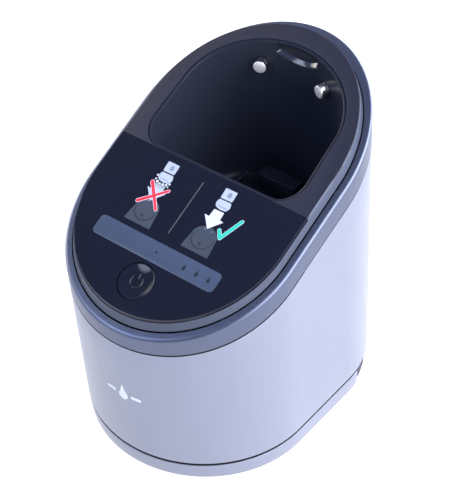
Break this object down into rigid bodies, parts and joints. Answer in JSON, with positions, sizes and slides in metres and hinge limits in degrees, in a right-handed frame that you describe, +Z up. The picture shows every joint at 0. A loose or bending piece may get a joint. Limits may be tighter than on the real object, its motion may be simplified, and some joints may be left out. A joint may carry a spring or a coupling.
{
  "type": "shaver cleaning and charging station",
  "caption": "Oval cleaning and charging station for an electric shaver: a silver lifting housing with a sloped black top, an open shaver well, a start button and a cartridge bay.",
  "frame": {"origin": "on the table, under the middle of the body's bounding box", "axes": "+Z up, -Y towards the low front end with the start button, +Y towards the cartridge bay's mouth, +X to the right seen from the front"},
  "size_m": [0.105, 0.1386, 0.1428],
  "materials": {
    "satin_silver": "satin metallic silver paint",
    "trim_metal": "satin blue-grey metallic paint",
    "matte_black": "fine matte texture",
    "gloss_black": "polished",
    "smoke_lens": "smoked, semi-gloss",
    "steel": "plain",
    "bright_steel": "nickel plated",
    "copper": "enamelled copper",
    "rubber": "matte",
    "grey_plastic": "moulded",
    "white_plastic": "moulded",
    "circuit_board": "green solder mask",
    "clear_tube": "translucent silicone",
    "light_body": "clear lens"
  },
  "bodies": {
    "base": {"base_ring": "satin_silver", "base_tray": "matte_black", "rubber_foot_1": "rubber", "rubber_foot_2": "rubber", "rubber_foot_3": "rubber", "rubber_foot_4": "rubber", "base_screw_1": "steel", "base_screw_2": "steel", "base_screw_3": "steel", "base_screw_4": "steel", "guide_post_left": "steel", "guide_post_right": "steel", "lift_spring_left": "steel", "lift_spring_right": "steel", "latch_keeper_left": "steel", "latch_keeper_right": "steel"},
    "housing": {"bowl_gasket": "rubber", "cradle_bowl": "gloss_black", "housing_shell": "satin_silver", "trim_band": "trim_metal", "top_cover": "matte_black", "display_panel": "gloss_black", "indicator_lens": "smoke_lens", "drain_sieve": "steel", "drain_spout": "grey_plastic", "drying_coil": "copper", "contact_holder": "grey_plastic", "contact_leaf_left": "copper", "contact_leaf_right": "copper", "chassis": "grey_plastic", "main_board": "circuit_board", "power_inlet": "matte_black", "pump_housing": "white_plastic", "pump_cover": "white_plastic", "pump_motor": "steel", "suction_pipe": "grey_plastic", "delivery_tube": "clear_tube", "spray_nozzle": "matte_black", "display_board": "circuit_board", "tact_switch": "grey_plastic", "light_status": "light_body", "light_level_1": "light_body", "light_level_2": "light_body", "light_level_3": "light_body", "ribbon_cable": "white_plastic", "latch_spring": "steel"},
    "start_button": {"start_button": "gloss_black"},
    "release_latch": {"latch_bar": "grey_plastic", "release_button": "matte_black"},
    "charge_pin_left": {"charge_pin_left": "bright_steel"},
    "charge_pin_right": {"charge_pin_right": "bright_steel"},
    "pump_rotor": {"pump_impeller": "grey_plastic", "pump_shaft": "steel"}
  },
  "joints": [
    {"name": "housing_lift", "type": "slide", "parent": "base", "child": "housing", "axis": [0, 0, 1], "range_m": [0, 0.03], "deforming": ["lift_spring_left", "lift_spring_right"]},
    {"name": "start_press", "type": "slide", "parent": "housing", "child": "start_button", "axis": [0, 0.4131, -0.9107], "range_m": [0, 0.0008], "stiffness_N_per_m": 800},
    {"name": "release_press", "type": "slide", "parent": "housing", "child": "release_latch", "axis": [0, -1, 0], "range_m": [0, 0.003], "stiffness_N_per_m": 400, "deforming": ["latch_spring"]},
    {"name": "pin_left_press", "type": "slide", "parent": "housing", "child": "charge_pin_left", "axis": [-0.342, 0.9397, 0], "range_m": [0, 0.0012], "stiffness_N_per_m": 300},
    {"name": "pin_right_press", "type": "slide", "parent": "housing", "child": "charge_pin_right", "axis": [0.342, 0.9397, 0], "range_m": [0, 0.0012], "stiffness_N_per_m": 300},
    {"name": "pump_spin", "type": "hinge", "parent": "housing", "child": "pump_rotor", "pos_m": [-0.018, -0.02, 0.065], "axis": [0, 0, 1], "continuous": true}
  ]
}
